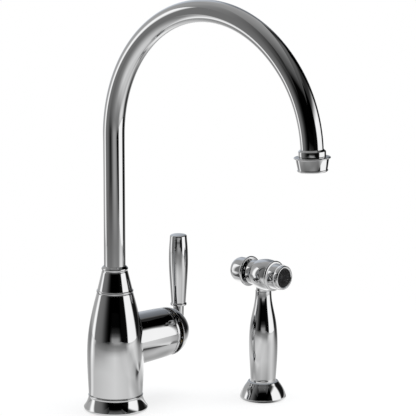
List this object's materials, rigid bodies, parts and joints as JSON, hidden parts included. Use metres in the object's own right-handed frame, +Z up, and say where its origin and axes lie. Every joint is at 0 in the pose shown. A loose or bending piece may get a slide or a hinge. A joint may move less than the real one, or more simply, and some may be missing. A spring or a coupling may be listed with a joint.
{
  "type": "kitchen faucet with side spray",
  "caption": "Deck-mounted kitchen faucet with a domed side lever, a turning swan-neck spout with an aerator, and a separate push-button side spray standing in its own holder.",
  "frame": {"origin": "centre of the faucet's base gasket, on the deck surface", "axes": "+Z up, the spout points along -Y at rest, the lever's hub along +X"},
  "size_m": [0.1757, 0.293, 0.4505],
  "materials": {
    "polished_chrome": "polished chrome plate",
    "black_plastic": "satin black moulding",
    "black_rubber": "matte rubber",
    "ceramic": "lapped ceramic",
    "machined_brass": "machined brass",
    "stainless_steel": "plain stainless steel",
    "moulded_plastic": "moulded acetal"
  },
  "bodies": {
    "base": {"base_gasket": "black_rubber", "base_ring": "polished_chrome", "threaded_shank": "machined_brass", "deck_rubber_washer": "black_rubber", "deck_steel_washer": "stainless_steel", "deck_nut": "machined_brass", "faucet_body": "polished_chrome", "spout_collar": "polished_chrome", "lower_glide_ring": "moulded_plastic", "upper_glide_ring": "moulded_plastic", "diverter_cage": "machined_brass", "diverter_seal": "black_rubber", "diverter_spring": "stainless_steel", "cartridge_base": "moulded_plastic", "port_seals": "black_rubber", "fixed_disc": "ceramic", "cartridge_housing": "moulded_plastic", "cartridge_nut": "machined_brass", "trim_ring": "black_plastic", "holder_gasket": "black_rubber", "holder_flange": "polished_chrome", "holder_shank": "machined_brass", "holder_washer": "black_rubber", "holder_nut": "machined_brass"},
    "spout": {"spout_tube": "polished_chrome", "spout_spigot": "machined_brass", "spout_seals": "black_rubber", "outlet_collar": "polished_chrome", "outlet_washer": "black_rubber", "aerator_housing": "polished_chrome", "flow_insert": "moulded_plastic", "aerator_screen": "stainless_steel"},
    "carrier": {"turning_carrier": "moulded_plastic", "spindle_pin": "stainless_steel"},
    "disc": {"moving_disc": "ceramic", "disc_coupler": "moulded_plastic"},
    "handle": {"spindle": "machined_brass", "handle_dome": "polished_chrome", "lever_stem": "polished_chrome", "lever_grip": "polished_chrome", "handle_grub_screw": "stainless_steel"},
    "spool": {"diverter_spool": "moulded_plastic"},
    "liner": {"holder_liner": "black_plastic"},
    "spray": {"spray_handle": "polished_chrome", "hose_check_valve": "moulded_plastic", "spray_head_body": "polished_chrome", "nozzle_collar": "polished_chrome", "nozzle_sleeve": "polished_chrome", "nozzle_rim": "polished_chrome", "spray_face": "black_plastic", "trigger_gland": "polished_chrome", "gland_seal": "black_rubber", "trigger_spring": "stainless_steel"},
    "trigger": {"trigger_button": "polished_chrome", "valve_stem": "machined_brass", "valve_seal": "black_rubber"}
  },
  "joints": [
    {"name": "spout_swivel", "type": "hinge", "parent": "base", "child": "spout", "pos_m": [0, 0, 0.11], "axis": [0, 0, 1], "continuous": true},
    {"name": "temperature_turn", "type": "hinge", "parent": "base", "child": "carrier", "pos_m": [0.05, 0, 0.063], "axis": [-1, 0, 0], "range_deg": [-40, 40]},
    {"name": "flow_tilt", "type": "hinge", "parent": "carrier", "child": "handle", "pos_m": [0.057, 0, 0.063], "axis": [0, 1, 0], "range_deg": [0, 20]},
    {"name": "disc_slide", "type": "slide", "parent": "carrier", "child": "disc", "axis": [0, 0, 1], "range_m": [0, 0.0042]},
    {"name": "diverter_lift", "type": "slide", "parent": "base", "child": "spool", "axis": [0, 0, 1], "range_m": [0, 0.003], "stiffness_N_per_m": 200, "deforming": ["diverter_spring"]},
    {"name": "spray_turn", "type": "hinge", "parent": "base", "child": "liner", "pos_m": [0.124, -0.072, 0], "axis": [0, 0, 1], "continuous": true},
    {"name": "spray_lift", "type": "slide", "parent": "liner", "child": "spray", "axis": [0, 0, 1], "range_m": [0, 0.1]},
    {"name": "trigger_push", "type": "slide", "parent": "spray", "child": "trigger", "axis": [0.0436, -0.999, 0], "range_m": [0, 0.0028], "stiffness_N_per_m": 800, "deforming": ["trigger_spring"]}
  ],
  "couplings": [
    {"joint": "disc_slide", "follows": "flow_tilt", "m_per_rad": 0.0118}
  ]
}
